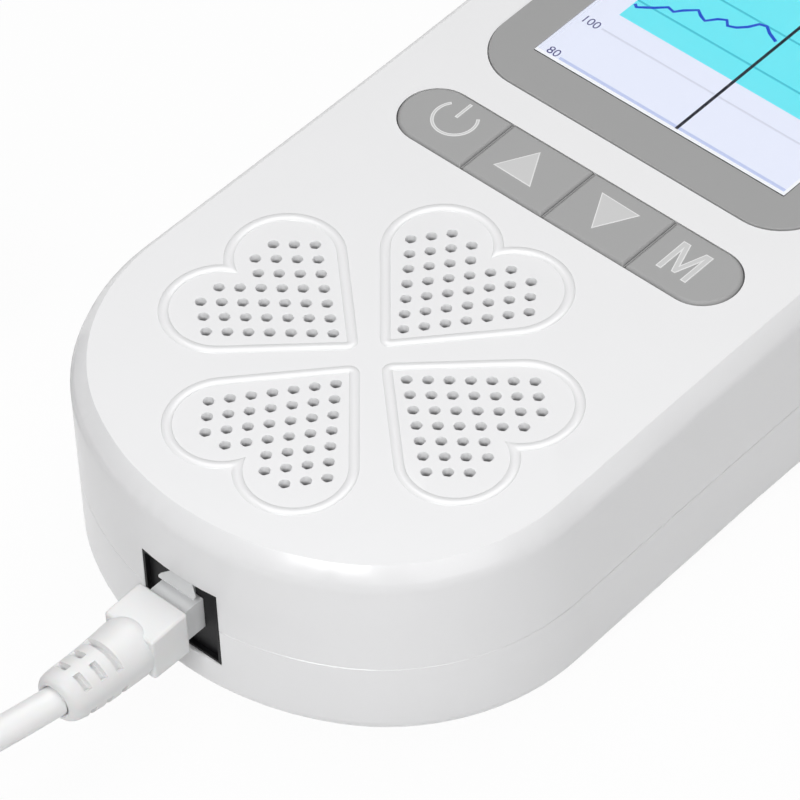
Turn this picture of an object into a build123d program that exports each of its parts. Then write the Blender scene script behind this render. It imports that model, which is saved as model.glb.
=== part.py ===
from build123d import *
import os
from math import atan2, cos, degrees, pi, radians, sin, sqrt, tan

os.makedirs("parts", exist_ok=True)

# Fetal doppler monitor lying on its back: +Z out of the screen, +Y towards the screen's end,
# the probe's lead at the -Y end. Origin: middle of the handset's flat back. Millimetres.

# Handset casing
body_length = 210
widest_width = 93.6
waist_pinch = 0.8
body_depth = 36.5
end_radius = 55
corner_radius = 39
wall = 2.2
top_wall = 2.4
parting_height = 15.4
bevel = 2.9
bevel_ease = 1.2
base_round = 3
lip_height = 1.5
lip_thickness = 1.0
lip_fit = 0.15
level_slack = 0.01

# Clover grille: four heart-shaped leaves of small holes, each leaf inside a raised bead
grille_y = -59.2
lobe_out = 25.5
lobe_side = 7.65
lobe_radius = 9.15
leaf_half_angle = 42.5
leaf_tip_round = 1.0
bead_width = 1.7
bead_height = 0.55
bead_chamfer = 0.4
hole_diameter = 2.1
hole_sides = 6
hole_pitch = 3.385
hole_lean = 39
first_hole = 7.9
hole_rows = (7, 7, 7, 6, 4, 4, 3)

# Key strip
key_count = 4
key_names = ("power", "up", "down", "mode")
keys_above_grille = 47.6
strip_length = 70.4
strip_width = 13.1
key_gap = 0.4
key_fit = 0.2
key_proud = 0.4
key_edge = 0.4
key_flange = 1.2
key_flange_thickness = 1.2
key_play = 0.2
key_travel = 0.6
stem_diameter = 5

# Display
bezel_above_grille = 61.3
bezel_width = 70.4
bezel_length = 88.5
bezel_corner = 10
bezel_thickness = 1.5
bezel_proud = 0.3
bezel_fit = 0.12
window_width = 54
window_length = 71.7
window_fit = 0.05
glass_margin = 1.6
glass_thickness = 1.6
glass_gap = 0.1
glass_fit = 0.3
backlight_margin = 1.0
backlight_thickness = 1.6
tray_fit = 0.15
tray_wall = 2.0
tray_floor = 0.8

# Circuit boards
board_thickness = 1.6
board_width = 80
key_room = 5.6
board_low_y = -26
board_high_y = 66
board_corner = 3
post_diameter = 5
post_x = 37
post_inset = 5
chip_sizes = ((12, 12, 1.4, -8, 40), (8, 10, 1.2, 10, 40), (20, 14, 1.9, 2, 12), (6, 6, 1.9, -20, -10))

# Tact switches under the keys
switch_side = 6
switch_height = 2.9
plunger_diameter = 3.4
plunger_length = 2.6
plunger_fit = 0.15
plunger_rest = 0.2
switch_floor = 0.3

# Loudspeaker
speaker_flats = 66
speaker_flange = 1
gasket_thickness = 1
gasket_width = 2
basket_radius = 24.5
basket_back_radius = 15
basket_depth = 9
basket_wall = 0.8
cone_thickness = 0.5
cone_rim = 2
dust_cap_radius = 8
magnet_radius = 14
magnet_height = 7
cloth_thickness = 0.4
collar_thickness = 1.2
collar_height = 2.6
collar_fit = 0.2

# Lead socket and plug
socket_width = 15.5
socket_height = 15.5
socket_depth = 16
socket_recess = 1.6
socket_fit = 0.2
plug_width = 7.65
plug_height = 6.6
plug_length = 14.2
plug_exposed = 4.8
plug_end_play = 0.4
plug_axis_height = 15.9
plug_fit = 0.15
latch_width = 4.6
latch_thickness = 1.1
latch_rise = 1.6
latch_length = 11.5
latch_root = 2.2
shoulder_length = 1.4
shoulder_height = 0.5
blade_pitch = 1.02
blade_count = 4
blade_thickness = 0.35
blade_depth = 2.4
blade_length = 3
contact_trough = 1.6
wire_diameter = 0.45
socket_board_width = 24
socket_board_length = 18
socket_board_setback = 3.5
post_reach = 9.5
block_width = 10.4
block_height = 8.7
block_length = 7.9
block_back_height = 7.5
block_edge = 0.6
block_lift = 0.26
plug_reach = 3.2
relief_length = 15.6
relief_radius = 4.9
relief_tip_radius = 4.3
relief_tip_round = 1.2
slot_start = 5.6
slot_pitch = 2.7
slot_width = 1.2
slot_depth = 1.5
slot_turn = 11
slot_rings = ((2, 140, 0), (4, 62, 45), (4, 62, 45))

# Ports in the left side
earphone_y = 52
earphone_bore = 3.6
earphone_depth = 14
earphone_body = (13, 11, 6)
earphone_barrel = 6
port_y = 30
port_width = 8.9
port_height = 3.2
port_length = 8.6
port_fit = 0.25
port_shell = 0.35
port_tongue = 0.7
port_tongue_width = 6.2
port_recess = 0.8

# Battery and its door
battery_low_gap = 3
battery_high_gap = 4
cell_side_gap = 1.8
compartment_length = 74
compartment_y = 45
battery_height = 3.2
roof_gap = 0.4
compartment_wall = 1.6
foam_thickness = 1.4
foam_length = 40
door_thickness = 1.8
door_overlap = 2.4
door_fit = 0.25
door_corner = 3
door_rest = 0.15
ledge_height = 2
rim_width = 1.4
rib_length = 60
rib_rest = 0.3
hook_width = 8
hook_x = 13
hook_reach = 2.6
hook_thickness = 1.2
hook_rise = 0.8
hook_play = 0.35
tongue_width = 12
tongue_height = 3.2
tongue_thickness = 1.5
tongue_play = 0.35
contact_strip = (4, 0.4, 8)
contact_pitch = 9

# Casing screws
casing_screws = ((36.2, 72), (33, -83))
boss_diameter = 7.5
pilot_diameter = 2.5
screw_hole = 3
screw_diameter = 2.4
screw_length = 15
head_diameter = 5.4
head_height = 2
well_diameter = 6
well_depth = 9.5
screw_fit = 0.1
screw_sides = 8
board_screw_length = 5
board_head_diameter = 4.2
board_head_height = 1.4

# Lead
cable_diameter = 5.2
corner_share = 0.45
coil_centre = (-38, -182)
coil_radius = 28.6
coil_width = 15.6
coil_height = 10.4
lead_points = (
    (-1.2, -138.2, 15.75),
    (-4.2, -145.0, 14.6),
    (-6.9, -152.6, 11.7),
    (-7.6, -161.2, 8.8),
    (-6.4, -170.2, 7.3),
    (-4.4, -179.2, 7.2),
)
tail_points = (
    (-27.0, -211.0, 2.8),
    (-38.5, -216.2, 2.7),
    (-52.5, -217.0, 2.8),
    (-65.2, -212.7, 3.3),
    (-75.3, -203.1, 4.9),
    (-80.3, -191.2, 7.2),
)

# Probe, lying on its belly and its head past the coil
probe_at = (-81.4, -167.8, 9.7)
probe_heading = 93
probe_tilt = 5.6
probe_length = 90
probe_tail_radius = 9
probe_belly_radius = 12.5
probe_neck_radius = 10.5
probe_head_radius = 17
probe_belly_at = 30
probe_flare_length = 16
probe_head_length = 14
probe_edge = 1.5
probe_wall = 2
face_thickness = 2.5
face_proud = 1
face_lip = 1.2
crystal_radius = 11
crystal_thickness = 1
crystal_gap = 0.8
backing_thickness = 5
probe_fit = 0.15
probe_relief_length = 12
probe_relief_radius = 4.4
probe_relief_tip = 3.6


# ---------------------------------------------------------------- derived places
half_length = body_length / 2
end_centre_y = half_length - end_radius
corner_x = widest_width / 2 - corner_radius
waist_width = widest_width - 2 * waist_pinch
corner_y = end_centre_y + sqrt((end_radius - corner_radius) ** 2 - corner_x**2)
waist_reach = waist_width / 2 - corner_x
side_radius = (waist_reach**2 + corner_y**2 - corner_radius**2) / (2 * (corner_radius - waist_reach))
end_angle = degrees(atan2(corner_y - end_centre_y, corner_x))
side_angle = degrees(atan2(corner_y, side_radius + waist_reach))
side_centre_x = waist_width / 2 + side_radius
inner_top = body_depth - top_wall
keys_y = grille_y + keys_above_grille
bezel_low_y = grille_y + bezel_above_grille
screen_y = bezel_low_y + bezel_length / 2
bezel_top = body_depth + bezel_proud
bezel_floor = bezel_top - bezel_thickness
glass_width = window_width + 2 * glass_margin
glass_length = window_length + 2 * glass_margin
glass_top = bezel_floor - glass_gap
key_pitch = strip_length / key_count
key_low = inner_top - key_play - key_flange_thickness
board_top = inner_top - key_room
board_low = board_top - board_thickness
board_y = (board_low_y + board_high_y) / 2
switch_top = board_top + switch_height
plunger_low = board_top + switch_floor + key_travel + plunger_rest
plunger_top = plunger_low + plunger_length
gasket_low = inner_top - gasket_thickness
socket_face_y = -half_length + socket_recess
socket_low = parting_height - socket_height / 2
block_front_y = socket_face_y - plug_exposed
plug_nose_y = block_front_y + plug_length
block_back_y = block_front_y - block_length
relief_end_y = block_back_y - relief_length
socket_board_back = socket_face_y + socket_board_setback + socket_board_length
socket_post = (post_reach, socket_board_back - post_diameter / 2)
socket_board_y = socket_board_back - socket_board_length / 2
tallest_chip = max(chip[2] for chip in chip_sizes)
compartment_ceiling = board_low - tallest_chip - roof_gap - compartment_wall
cell_diameter = compartment_ceiling - foam_thickness - battery_height
compartment_width = 2 * (cell_diameter + cell_side_gap)
battery_length = compartment_length - battery_low_gap - battery_high_gap
battery_y = compartment_y + (battery_low_gap - battery_high_gap) / 2
door_width = compartment_width + 2 * (door_overlap - door_fit)
door_length = compartment_length + 2 * (door_overlap - door_fit)
earphone_height = board_low - earphone_body[2] / 2
port_axis = board_low - port_height / 2
probe_head_at = probe_length - probe_head_length
probe_neck_at = probe_head_at - probe_flare_length


# ---------------------------------------------------------------- shared helpers
def casing_outline(inset):
    """Plan of the casing: two end arcs, four corner arcs and two faintly waisted sides."""
    corner = corner_radius - inset
    end = end_radius - inset
    turn = end_angle + side_angle
    arcs = [
        CenterArc((corner_x, corner_y), corner, -side_angle, turn),
        CenterArc((0, end_centre_y), end, end_angle, 180 - 2 * end_angle),
        CenterArc((-corner_x, corner_y), corner, 180 - end_angle, turn),
        CenterArc((-side_centre_x, 0), side_radius + inset, side_angle, -2 * side_angle),
        CenterArc((-corner_x, -corner_y), corner, 180 - side_angle, turn),
        CenterArc((0, -end_centre_y), end, 180 + end_angle, 180 - 2 * end_angle),
        CenterArc((corner_x, -corner_y), corner, -end_angle, turn),
        CenterArc((side_centre_x, 0), side_radius + inset, 180 + side_angle, -2 * side_angle),
    ]
    return Face(Wire(arcs))


def layer(face, low, high):
    """A flat shape raised from one height to another."""
    return extrude(Pos(0, 0, low) * face, high - low)


def block(width, length, low, high, x=0, y=0):
    """A box by its width, length, two heights and middle."""
    return Pos(x, y, (low + high) / 2) * Box(width, length, high - low)


def rod(radius, low, high, x=0, y=0):
    """An upright cylinder between two heights."""
    return Pos(x, y, (low + high) / 2) * Cylinder(radius, high - low)


def plate(width, length, corner, low, high, x=0, y=0):
    """A flat plate with rounded corners."""
    return layer(Pos(x, y) * RectangleRounded(width, length, corner), low, high)


def shank(radius, low, high, x=0, y=0):
    """A screw's shank or head as an upright many-sided bar between two heights."""
    return layer(Pos(x, y) * RegularPolygon(radius, screw_sides), low, high)


def mirrored(places):
    """Each place and its twin on the other side of the middle."""
    return [(side * x, y) for x, y in places for side in (-1, 1)]


# ---------------------------------------------------------------- clover grille
def leaf_outline(grow):
    """Heart-shaped leaf that points along +Y from its tip: two lobes over a rounded tip."""
    tangent = radians(leaf_half_angle)
    radius = lobe_radius + grow
    tip_y = lobe_out - (lobe_radius + lobe_side * cos(tangent)) / sin(tangent)
    hub_y = tip_y + leaf_tip_round / sin(tangent)
    tip = leaf_tip_round + grow
    touch_x = lobe_side + radius * cos(tangent)
    touch_y = lobe_out - radius * sin(tangent)
    notch_y = lobe_out + sqrt(radius**2 - lobe_side**2)
    start = degrees(atan2(notch_y - lobe_out, -lobe_side))
    sweep = start + leaf_half_angle
    foot = (tip * cos(tangent), hub_y - tip * sin(tangent))
    right = CenterArc((lobe_side, lobe_out), radius, -leaf_half_angle, sweep)
    left = CenterArc((-lobe_side, lobe_out), radius, 180 - start, sweep)
    point = CenterArc((0, hub_y), tip, 180 + leaf_half_angle, 180 - 2 * leaf_half_angle)
    side_right = Line(foot, (touch_x, touch_y))
    side_left = Line((-touch_x, touch_y), (-foot[0], foot[1]))
    return Face(Wire([right, left, side_left, point, side_right]))


def leaf_holes():
    """Hole centres of one leaf: a skewed lattice whose rows follow the leaf's two straight sides."""
    lean = radians(hole_lean)
    places = []
    for row, count in enumerate(hole_rows):
        for step in range(count):
            across = hole_pitch * (step - row) * sin(lean)
            along = first_hole + hole_pitch * (step + row) * cos(lean)
            places.append((across, along))
    return places


def leaf_bead():
    """Raised bead that follows a leaf's outline, with bevelled shoulders."""
    band = leaf_outline(bead_width / 2) - leaf_outline(-bead_width / 2)
    bead = layer(band, body_depth - wall / 4, body_depth + bead_height)
    return chamfer(bead.edges().group_by(Axis.Z)[-1], bead_chamfer)


def clover_turns():
    """The four quarter turns that carry one leaf round the clover."""
    return [Pos(0, grille_y) * Rot(0, 0, 90 * quarter) for quarter in range(4)]


# ---------------------------------------------------------------- casing
def key_strip(grow):
    """Plan of the whole key strip: a bar with round ends."""
    return Pos(0, keys_y) * SlotOverall(strip_length + 2 * grow, strip_width + 2 * grow)


def socket_opening():
    """The square mouth for the socket, crossing the parting line."""
    width = socket_width + 2 * socket_fit
    height = socket_height + 2 * socket_fit
    middle = (0, -half_length, parting_height)
    return Pos(*middle) * Box(width, 2 * end_radius - width, height)


def octagon(flats):
    """Eight-sided plan for the loudspeaker's flange, gasket and cloth."""
    return Pos(0, grille_y) * Rot(0, 0, 22.5) * RegularPolygon(flats / 2, 8, major_radius=False)


def board_posts():
    """Middles of the four posts that carry the main board."""
    low = board_low_y + post_inset
    high = board_high_y - post_inset
    return mirrored([(post_x, low), (post_x, high)])


def front_shell():
    """Upper half of the casing with the grille, the key slot, the display's seat and its posts."""
    shell = layer(casing_outline(0), parting_height, body_depth)
    shell = chamfer(shell.edges().group_by(Axis.Z)[-1], bevel)
    shoulder = body_depth - bevel
    level = (shoulder - level_slack, shoulder + level_slack)
    shell = chamfer(shell.edges().filter_by_position(Axis.Z, *level), bevel_ease)
    shell -= layer(casing_outline(wall), parting_height, inner_top)
    rebate = wall - lip_thickness - lip_fit
    shell -= layer(casing_outline(rebate), parting_height, parting_height + lip_height + lip_fit)
    collar_flats = speaker_flats + 2 * collar_fit
    collar = octagon(collar_flats + 2 * collar_thickness) - octagon(collar_flats)
    shell += layer(collar, inner_top - collar_height, inner_top)
    bosses = mirrored(casing_screws)
    shell += [rod(boss_diameter / 2, parting_height, inner_top, x, y) for x, y in bosses]
    shell += [rod(post_diameter / 2, board_top, inner_top, x, y) for x, y in board_posts()]
    shell += [turn * leaf_bead() for turn in clover_turns()]
    pilot = pilot_diameter / 2
    cuts = [rod(pilot, parting_height, well_depth + screw_length, x, y) for x, y in bosses]
    cuts += [rod(pilot, board_top, board_low + board_screw_length, x, y) for x, y in board_posts()]
    pocket_width = bezel_width + 2 * bezel_fit
    pocket_length = bezel_length + 2 * bezel_fit
    cuts.append(plate(pocket_width, pocket_length, bezel_corner, bezel_floor, body_depth, 0, screen_y))
    glass_seat = (glass_width + 2 * glass_fit, glass_length + 2 * glass_fit)
    cuts.append(block(*glass_seat, inner_top, bezel_floor, 0, screen_y))
    cuts.append(layer(key_strip(key_fit), inner_top, body_depth))
    cuts.append(socket_opening())
    side = Pos(-widest_width / 2, earphone_y, earphone_height) * Rot(0, 90, 0)
    cuts.append(side * Cylinder(earphone_barrel / 2 + screw_fit, 4 * wall))
    mouth = SlotOverall(port_width + 2 * port_fit, port_height + 2 * port_fit)
    through = extrude(Plane.YZ * mouth, 2 * wall, both=True)
    cuts.append(Pos(-widest_width / 2, port_y, port_axis) * through)
    shell -= cuts
    hole = RegularPolygon(hole_diameter / 2, hole_sides)
    holes = Sketch() + [Pos(x, y) * hole for x, y in leaf_holes()]
    tool = layer(holes, inner_top, body_depth)
    return shell - [turn * tool for turn in clover_turns()]


def rear_shell():
    """Lower half of the casing with its lip, screw wells and the battery compartment."""
    shell = layer(casing_outline(0), 0, parting_height)
    shell = fillet(shell.edges().group_by(Axis.Z)[0], base_round)
    shell -= layer(casing_outline(wall), wall, parting_height)
    lip = casing_outline(wall - lip_thickness) - casing_outline(wall)
    shell += layer(lip, parting_height, parting_height + lip_height)
    shell += [rod(boss_diameter / 2, 0, parting_height, x, y) for x, y in mirrored(casing_screws)]
    pocket = (door_width + 2 * door_fit, door_length + 2 * door_fit)
    ledge_low = door_thickness + door_rest
    ledge_top = ledge_low + ledge_height
    shell += block(pocket[0] + 2 * rim_width, pocket[1] + 2 * rim_width, 0, ledge_top, 0, compartment_y)
    room = (compartment_width, compartment_length)
    around = [side + 2 * compartment_wall for side in room]
    shell += block(*around, 0, compartment_ceiling + compartment_wall, 0, compartment_y)
    shell -= block(*room, 0, compartment_ceiling, 0, compartment_y)
    shell -= plate(*pocket, door_corner + door_fit, 0, ledge_low, 0, compartment_y)
    slot_top = ledge_top + hook_rise + hook_thickness + hook_play
    slot_y = compartment_y + compartment_length / 2 + compartment_wall / 2
    slot_width = hook_width + 2 * hook_play
    slots = [block(slot_width, compartment_wall, ledge_top, slot_top, side * hook_x, slot_y)
             for side in (-1, 1)]
    bosses = mirrored(casing_screws)
    wells = [rod(well_diameter / 2, 0, well_depth, x, y) for x, y in bosses]
    through = [rod(screw_hole / 2, well_depth, parting_height, x, y) for x, y in bosses]
    shell -= slots + wells + through + [socket_opening()]
    posts = mirrored([socket_post])
    shell += [rod(post_diameter / 2, wall / 2, socket_low - board_thickness, x, y) for x, y in posts]
    pilot_low = socket_low - board_screw_length
    return shell - [rod(pilot_diameter / 2, pilot_low, socket_low, x, y) for x, y in posts]


def casing_screw_set():
    """Four screws that go in from the back and pull the halves together."""
    screws = Part()
    for x, y in mirrored(casing_screws):
        screws += shank(head_diameter / 2, well_depth - head_height, well_depth, x, y)
        screws += shank(screw_diameter / 2, well_depth, well_depth + screw_length, x, y)
    return screws


# ---------------------------------------------------------------- keys
def key_place(number):
    """Middle of one key along the strip."""
    return key_pitch * (number + 0.5) - strip_length / 2


def key_cell(number):
    """The stretch of the strip that one key fills, with the flange's overhang at the two ends."""
    low = -strip_length / 2 + number * key_pitch + key_gap / 2
    high = low + key_pitch - key_gap
    if number == 0:
        low -= key_flange + key_gap
    if number == key_count - 1:
        high += key_flange + key_gap
    height = 2 * body_depth
    return block(high - low, 2 * strip_width, 0, height, (low + high) / 2, keys_y)


def key(number):
    """One key: a cap through the strip's slot, a flange that keeps it in, and a stem."""
    top = body_depth + key_proud
    cap = layer(key_strip(0), key_low, top) & key_cell(number)
    cap = chamfer(cap.edges().group_by(Axis.Z)[-1], key_edge)
    flange = layer(key_strip(key_flange), key_low, key_low + key_flange_thickness) & key_cell(number)
    return cap + flange + rod(stem_diameter / 2, plunger_top, key_low, key_place(number), keys_y)


def plunger(number):
    """Moving button of the tact switch under one key."""
    return rod(plunger_diameter / 2, plunger_low, plunger_top, key_place(number), keys_y)


def switch_set():
    """Four tact switch bodies on the main board, each bored for its plunger."""
    switches = Part()
    for number in range(key_count):
        x = key_place(number)
        switches += block(switch_side, switch_side, board_top, switch_top, x, keys_y)
        bore = plunger_diameter / 2 + plunger_fit
        switches -= rod(bore, board_top + switch_floor, switch_top, x, keys_y)
    return switches


# ---------------------------------------------------------------- display
def screen_bezel():
    """Grey frame round the screen, sunk in the front shell."""
    frame = plate(bezel_width, bezel_length, bezel_corner, bezel_floor, bezel_top, 0, screen_y)
    return frame - block(window_width, window_length, bezel_floor, bezel_top, 0, screen_y)


def screen_window():
    """Clear pane that fills the frame."""
    width = window_width - 2 * window_fit
    length = window_length - 2 * window_fit
    return block(width, length, bezel_floor, bezel_top, 0, screen_y)


def lcd_glass():
    """Display glass under the pane."""
    return block(glass_width, glass_length, glass_top - glass_thickness, glass_top, 0, screen_y)


def lcd_backlight():
    """Light guide under the display glass."""
    top = glass_top - glass_thickness
    width = glass_width + 2 * backlight_margin
    length = glass_length + 2 * backlight_margin
    return block(width, length, top - backlight_thickness, top, 0, screen_y)


def lcd_tray():
    """Open tray that holds the display up against the front shell."""
    floor = glass_top - glass_thickness - backlight_thickness
    width = glass_width + 2 * backlight_margin + 2 * tray_fit
    length = glass_length + 2 * backlight_margin + 2 * tray_fit
    outer = (width + 2 * tray_wall, length + 2 * tray_wall)
    tray = block(*outer, floor - tray_floor, inner_top, 0, screen_y)
    return tray - block(width, length, floor, inner_top, 0, screen_y)


# ---------------------------------------------------------------- boards
def board_screw(x, y, seat, way):
    """Small screw: its head on the board's face at one height, its shank the given way."""
    head = sorted((seat, seat - way * board_head_height))
    thread = sorted((seat, seat + way * board_screw_length))
    return shank(board_head_diameter / 2, *head, x, y) + shank(screw_diameter / 2, *thread, x, y)


def main_board():
    """Circuit board between the keys and the battery."""
    length = board_high_y - board_low_y
    board = plate(board_width, length, board_corner, board_low, board_top, 0, board_y)
    return board - [rod(pilot_diameter / 2, board_low, board_top, x, y) for x, y in board_posts()]


def board_chips():
    """The taller packages on the board's underside."""
    return Part() + [block(width, length, board_low - height, board_low, x, y)
                     for width, length, height, x, y in chip_sizes]


def board_screw_set():
    """Four screws under the main board and two over the socket's board."""
    screws = [board_screw(x, y, board_low, 1) for x, y in board_posts()]
    screws += [board_screw(x, y, socket_low, -1) for x, y in mirrored([socket_post])]
    return Part() + screws


# ---------------------------------------------------------------- loudspeaker
def grille_cloth():
    """Dust cloth behind the grille's holes."""
    flats = speaker_flats - 2 * gasket_width - 2 * collar_fit
    return layer(octagon(flats), inner_top - cloth_thickness, inner_top)


def speaker_gasket():
    """Soft ring that seals the loudspeaker to the front shell."""
    ring = octagon(speaker_flats) - octagon(speaker_flats - 2 * gasket_width)
    return layer(ring, gasket_low, inner_top)


def cone_at(wide, narrow, high, depth):
    """Cone frustum under the grille, wide end up."""
    return Pos(0, grille_y, high - depth / 2) * Cone(narrow, wide, depth)


def speaker_frame():
    """Flange and tapered basket."""
    flange_low = gasket_low - speaker_flange
    frame = layer(octagon(speaker_flats), flange_low, gasket_low)
    frame += cone_at(basket_radius, basket_back_radius, flange_low, basket_depth)
    mouth = basket_radius - basket_wall
    back = basket_back_radius - basket_wall
    frame -= cone_at(mouth, back, flange_low, basket_depth - basket_wall)
    return frame - rod(mouth, flange_low, gasket_low, 0, grille_y)


def speaker_cone():
    """Thin cone with its rim on the flange and a closed dust cap in the middle."""
    rim = rod(basket_radius + cone_rim / 2, gasket_low, gasket_low + cone_thickness, 0, grille_y)
    mouth = basket_radius - cone_rim
    depth = basket_depth - 2 * cone_rim
    cone = cone_at(mouth, dust_cap_radius, gasket_low, depth)
    hollow = cone_at(mouth, dust_cap_radius, gasket_low + cone_thickness, depth)
    return rim + cone - hollow


def speaker_magnet():
    """Magnet on the back of the basket."""
    seat = gasket_low - speaker_flange - basket_depth
    return rod(magnet_radius, seat - magnet_height, seat, 0, grille_y)


# ---------------------------------------------------------------- socket, plug and boot
def socket_block(width, length, low, high, front):
    """A box along the lead's axis, by the place of its outer end."""
    return block(width, length, low, high, 0, front + length / 2)


def latch_profile(grow):
    """Side view of the plug's latch: rooted at the nose, rising towards the boot."""
    top = plug_axis_height + plug_height / 2
    root = plug_nose_y - latch_root
    end = plug_nose_y - latch_length - grow
    outline = Polyline(
        (plug_nose_y, top - grow),
        (root, top - grow),
        (end, top + latch_rise - grow),
        (end, top + latch_rise + latch_thickness + grow),
        (root, top + latch_thickness + grow),
        (plug_nose_y, top + latch_thickness / 2 + grow),
        close=True,
    )
    return Plane.YZ * make_face(outline)


def probe_socket():
    """Black modular socket with a cavity for the plug, its latch and the contact wires."""
    top = socket_low + socket_height
    socket = socket_block(socket_width, socket_depth, socket_low, top, socket_face_y)
    reach = plug_nose_y + plug_end_play - socket_face_y
    low = plug_axis_height - plug_height / 2 - plug_fit
    high = plug_axis_height + plug_height / 2 + plug_fit
    socket -= socket_block(plug_width + 2 * plug_fit, reach, low, high, socket_face_y)
    latch_top = high + latch_rise + latch_thickness
    socket -= socket_block(latch_width + 2 * plug_fit, reach, low, latch_top, socket_face_y)
    trough_length = reach + contact_trough
    trough_width = blade_pitch * (blade_count + 1)
    socket -= socket_block(trough_width, trough_length - shoulder_length, low - contact_trough, low,
                           socket_face_y + shoulder_length)
    return socket


def contact_places():
    """Side-to-side places of the plug's blades and of the wires that meet them."""
    return [blade_pitch * (number - (blade_count - 1) / 2) for number in range(blade_count)]


def socket_contacts():
    """Contact wires along the trough, each with a foot on its floor."""
    floor = plug_axis_height - plug_height / 2 - plug_fit - contact_trough
    back = plug_nose_y + plug_end_play + contact_trough / 2
    front = socket_face_y + 2 * shoulder_length
    height = floor + contact_trough / 2
    middle = (back + front) / 2
    wires = Part()
    for x in contact_places():
        wires += block(wire_diameter, back - front, height - wire_diameter, height, x, middle)
        wires += block(wire_diameter, wire_diameter, floor, height, x, back - wire_diameter / 2)
    return wires


def socket_board():
    """Small board under the socket, screwed to two posts of the rear shell."""
    low = socket_low - board_thickness
    board = block(socket_board_width, socket_board_length, low, socket_low, 0, socket_board_y)
    return board - [rod(pilot_diameter / 2, low, socket_low, x, y) for x, y in mirrored([socket_post])]


def plug_blades():
    """Gold blades in the underside of the plug's nose."""
    low = plug_axis_height - plug_height / 2
    middle = plug_nose_y - blade_thickness - blade_length / 2
    return Part() + [block(blade_thickness, blade_length, low, low + blade_depth, x, middle)
                     for x in contact_places()]


def plug_body():
    """Clear modular plug with its latch, seated in the boot's pocket."""
    low = plug_axis_height - plug_height / 2
    high = plug_axis_height + plug_height / 2
    length = plug_length + plug_reach
    plug = socket_block(plug_width, length, low, high, block_front_y - plug_reach)
    plug += extrude(latch_profile(0), latch_width / 2, both=True)
    bar_low = high + latch_rise - shoulder_height
    bar_high = high + latch_rise + latch_thickness
    bar_y = plug_nose_y - latch_length - shoulder_length
    plug += socket_block(plug_width, shoulder_length, bar_low, bar_high, bar_y)
    return plug - plug_blades()


def plug_boot():
    """Moulded block behind the plug, tapered towards the cable, with its slotted strain relief."""
    middle = plug_axis_height + block_lift
    front = block_height / 2
    back = block_back_height / 2
    side = Polyline(
        (block_front_y, middle - front),
        (block_front_y, middle + front),
        (block_back_y, middle + back),
        (block_back_y, middle - back),
        close=True,
    )
    boot = extrude(Plane.YZ * make_face(side), block_width / 2, both=True)
    boot = chamfer(boot.edges(), block_edge)
    low = plug_axis_height - plug_height / 2
    boot -= socket_block(plug_width, plug_reach, low, low + plug_height, block_front_y - plug_reach)
    along = Pos(0, 0, plug_axis_height) * Rot(90, 0, 0)
    relief_middle = relief_length / 2 - block_back_y
    relief = Pos(0, 0, relief_middle) * Cone(relief_radius, relief_tip_radius, relief_length)
    relief = chamfer(relief.edges().group_by(Axis.Z)[-1], relief_tip_round)
    for ring, (count, span, first) in enumerate(slot_rings):
        at = slot_start + ring * slot_pitch + slot_width / 2 - block_back_y
        tool = Cylinder(relief_radius + slot_width, slot_width, arc_size=span)
        tool -= Cylinder(relief_radius - slot_depth, slot_width)
        for slot in range(count):
            turn = first + slot * 360 / count + slot_turn - span / 2 + 90
            relief -= Pos(0, 0, at) * Rot(0, 0, turn) * tool
    return boot + along * relief


# ---------------------------------------------------------------- side ports
def earphone_socket():
    """Earphone socket under the main board, its barrel in the left wall."""
    depth, width, height = earphone_body
    wall_x = -waist_width / 2 + wall
    face_x = wall_x - screw_fit
    body = block(depth, width, earphone_height - height / 2, board_low, face_x + depth / 2, earphone_y)
    mouth_x = face_x - wall
    way = Rot(0, 90, 0)
    barrel_x = (face_x + mouth_x) / 2
    barrel = Pos(barrel_x, earphone_y, earphone_height) * way * Cylinder(earphone_barrel / 2, wall)
    bore_x = mouth_x + earphone_depth / 2
    bore = Pos(bore_x, earphone_y, earphone_height) * way * Cylinder(earphone_bore / 2, earphone_depth)
    return body + barrel - bore


def charging_port():
    """Charging port under the main board: a flat shell with a tongue."""
    mouth_x = -waist_width / 2 + port_recess
    outer = extrude(Plane.YZ * SlotOverall(port_width, port_height), port_length)
    inner = SlotOverall(port_width - 2 * port_shell, port_height - 2 * port_shell)
    hollow = extrude(Plane.YZ * inner, port_length - port_recess)
    tongue_length = port_length - 2 * port_recess
    tongue = Pos(port_length / 2, 0, 0) * Box(tongue_length, port_tongue_width, port_tongue)
    return Pos(mouth_x, port_y, port_axis) * (outer - hollow + tongue)


# ---------------------------------------------------------------- battery and door
def battery_pack():
    """Two cells side by side in one wrap."""
    profile = Plane.XZ * SlotOverall(2 * cell_diameter, cell_diameter)
    centre = (0, battery_y, battery_height + cell_diameter / 2)
    return Pos(*centre) * extrude(profile, battery_length / 2, both=True)


def battery_foam():
    """Foam pad between the battery and the roof of its compartment."""
    low = battery_height + cell_diameter
    return block(cell_diameter, foam_length, low, compartment_ceiling, 0, battery_y)


def battery_contacts():
    """Two contact strips on the compartment's end wall."""
    width, thickness, height = contact_strip
    y = compartment_y - compartment_length / 2 + thickness / 2
    low = ledge_height + tongue_height + door_thickness
    return Part() + [block(width, thickness, low, low + height, side * contact_pitch / 2, y)
                     for side in (-1, 1)]


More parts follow.
